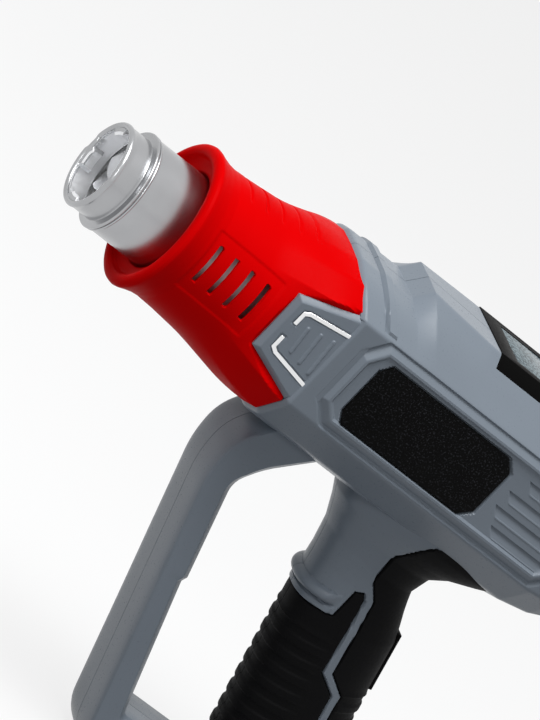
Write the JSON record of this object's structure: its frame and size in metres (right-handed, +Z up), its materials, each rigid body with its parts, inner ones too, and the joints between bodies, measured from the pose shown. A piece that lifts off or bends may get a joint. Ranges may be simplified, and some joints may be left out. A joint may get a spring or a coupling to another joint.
{
  "type": "hot air tool",
  "caption": "Hand-held hot air tool: stepped steel nozzle in a flared heat shroud, two-part casing with a closed hand guard, ribbed rubber grip, display and push buttons on top.",
  "frame": {"origin": "middle of the bounding box's footprint, on the base that the tool stands on", "axes": "-X out of the nozzle along the air's way, +X towards the rear cap, -Y to the tool's left side, +Z up from the base to the display"},
  "size_m": [0.255, 0.0762, 0.2145],
  "materials": {
    "casing": "fine moulded texture, slate grey",
    "shroud": "satin red",
    "steel": "bright drawn sheet",
    "chrome": "polished",
    "rubber": "matt black",
    "black": "satin black",
    "glass": "clear window",
    "mica": "mica paper",
    "ceramic": "unglazed",
    "brass": "turned",
    "copper": "drawn wire and windings",
    "board": "coated board",
    "white": "plain moulding",
    "ferrite": "sintered"
  },
  "bodies": {
    "housing": {"casing_left": "casing", "casing_right": "casing", "rear_cap": "casing", "nozzle_shroud": "shroud", "nozzle_tube": "steel", "nozzle_diffuser": "steel", "tube_seat_ring": "white", "mica_sleeve": "mica", "ceramic_core": "ceramic", "heating_coil": "copper", "temperature_sensor": "brass", "air_duct": "white", "motor_can": "steel", "motor_end_cap": "black", "motor_magnet_upper": "ferrite", "motor_magnet_lower": "ferrite", "brush_upper": "ferrite", "brush_lower": "ferrite", "shaft_bush_front": "brass", "shaft_bush_rear": "brass", "control_bezel": "black", "display_window": "glass", "display_module": "white", "control_board": "board", "label_plate_left": "black", "label_plate_right": "black", "inlay_upper_left": "chrome", "inlay_lower_left": "chrome", "inlay_upper_right": "chrome", "inlay_lower_right": "chrome", "grip_front_left": "rubber", "grip_front_right": "rubber", "grip_rear_left": "rubber", "grip_rear_right": "rubber", "switch_body": "black", "power_board": "board", "suppressor_capacitor": "white", "cord_inlet": "rubber", "casing_screw_1": "steel", "casing_screw_2": "steel", "casing_screw_3": "steel", "casing_screw_4": "steel", "casing_screw_5": "steel", "casing_screw_6": "steel"},
    "rotor": {"motor_armature": "copper", "fan_impeller": "white"},
    "up_button": {"button_up": "rubber"},
    "down_button": {"button_down": "rubber"},
    "rocker": {"switch_rocker": "shroud"}
  },
  "joints": [
    {"name": "fan_spin", "type": "hinge", "parent": "housing", "child": "rotor", "pos_m": [0.0335, 0, 0.173], "axis": [1, 0, 0], "continuous": true},
    {"name": "up_button_press", "type": "slide", "parent": "housing", "child": "up_button", "axis": [0, 0, -1], "range_m": [0, 0.001], "stiffness_N_per_m": 800, "springref_m": -0.0008},
    {"name": "down_button_press", "type": "slide", "parent": "housing", "child": "down_button", "axis": [0, 0, -1], "range_m": [0, 0.001], "stiffness_N_per_m": 800, "springref_m": -0.0008},
    {"name": "power_switch", "type": "hinge", "parent": "housing", "child": "rocker", "pos_m": [0.08276, 0, 0.09412], "axis": [0, 1, 0], "range_deg": [-8, 8]}
  ]
}
